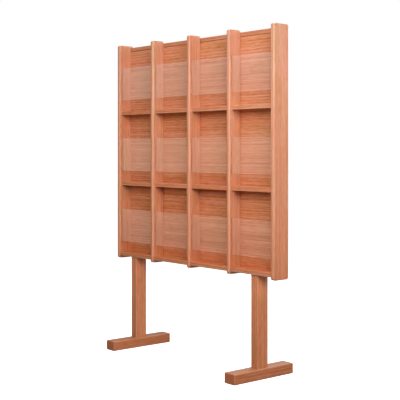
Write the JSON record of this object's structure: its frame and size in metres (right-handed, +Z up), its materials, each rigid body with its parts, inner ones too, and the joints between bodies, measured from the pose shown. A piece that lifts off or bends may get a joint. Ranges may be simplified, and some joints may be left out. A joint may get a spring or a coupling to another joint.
{
  "type": "periodical display rack",
  "caption": "Free-standing wooden rack of shallow magazine pockets with clear retaining windows, carried by posts on long feet.",
  "frame": {"origin": "on the floor, at the middle of the footprint", "axes": "+X to the right of a person who faces the pockets, +Y towards the back, +Z up"},
  "size_m": [0.9842, 0.3022, 1.308],
  "materials": {
    "board_wood": "honey-toned hardwood board under satin lacquer, grain along each board, edges eased",
    "veneer": "hardwood veneer under satin lacquer, grain across the panel",
    "stand_wood": "solid hardwood bar under satin lacquer, grain along the bar, edges eased",
    "clear_sheet": "clear acrylic sheet with polished edges",
    "nylon": "off-white moulded nylon",
    "zinc_steel": "zinc-plated steel",
    "dowel_wood": "plain unfinished beech"
  },
  "bodies": {
    "root": {"side_board_left": "board_wood", "side_board_right": "board_wood", "divider_left": "board_wood", "divider_middle": "board_wood", "divider_right": "board_wood", "back_panel": "veneer", "top_rail": "board_wood", "bottom_shelf_a": "board_wood", "bottom_window_a": "clear_sheet", "bottom_shelf_b": "board_wood", "bottom_window_b": "clear_sheet", "bottom_shelf_c": "board_wood", "bottom_window_c": "clear_sheet", "bottom_shelf_d": "board_wood", "bottom_window_d": "clear_sheet", "lower_shelf_a": "board_wood", "lower_window_a": "clear_sheet", "lower_shelf_b": "board_wood", "lower_window_b": "clear_sheet", "lower_shelf_c": "board_wood", "lower_window_c": "clear_sheet", "lower_shelf_d": "board_wood", "lower_window_d": "clear_sheet", "upper_shelf_a": "board_wood", "upper_window_a": "clear_sheet", "upper_shelf_b": "board_wood", "upper_window_b": "clear_sheet", "upper_shelf_c": "board_wood", "upper_window_c": "clear_sheet", "upper_shelf_d": "board_wood", "upper_window_d": "clear_sheet", "post_left": "stand_wood", "post_right": "stand_wood", "foot_left": "stand_wood", "foot_right": "stand_wood", "glide_front_left": "nylon", "glide_front_right": "nylon", "glide_back_left": "nylon", "glide_back_right": "nylon", "back_panel_screws": "zinc_steel", "post_screws": "zinc_steel", "foot_bolts": "zinc_steel", "foot_washers": "zinc_steel", "threaded_inserts": "zinc_steel", "foot_dowels": "dowel_wood"}
  },
  "joints": []
}
